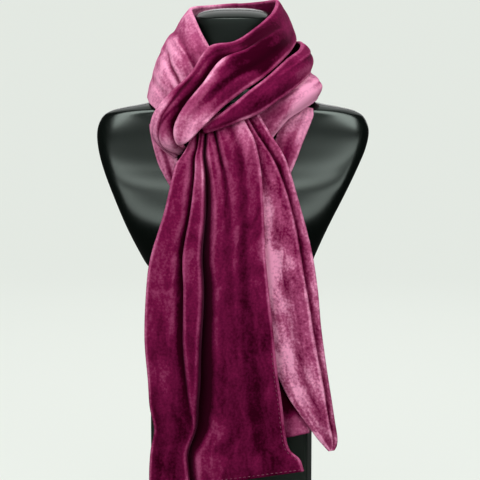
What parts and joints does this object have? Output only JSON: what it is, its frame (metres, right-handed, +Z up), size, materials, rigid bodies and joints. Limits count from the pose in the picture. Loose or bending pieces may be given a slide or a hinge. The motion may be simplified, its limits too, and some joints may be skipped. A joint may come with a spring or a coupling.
{
  "type": "velvet scarf on a display bust",
  "caption": "Soft velvet scarf tied in a pull-through loop round the neck of a limbless display bust on a plain column.",
  "frame": {"origin": "middle of the column's underside, where it stands", "axes": "+Z up, the bust and the knot face -Y, +X to the right of someone who looks at the front"},
  "size_m": [0.374, 0.2229, 0.7438],
  "materials": {
    "velvet": "crushed silk velvet, wine red to dusty pink",
    "bust_black": "satin black",
    "column_black": "satin black"
  },
  "bodies": {
    "root": {"left_wrap": "velvet", "crossing_wrap": "velvet", "middle_band": "velvet", "lower_band": "velvet", "lowest_band": "velvet", "left_drape": "velvet", "front_tail": "velvet", "rear_tail": "velvet", "rear_tail_back": "velvet", "display_bust": "bust_black", "column": "column_black"}
  },
  "joints": []
}
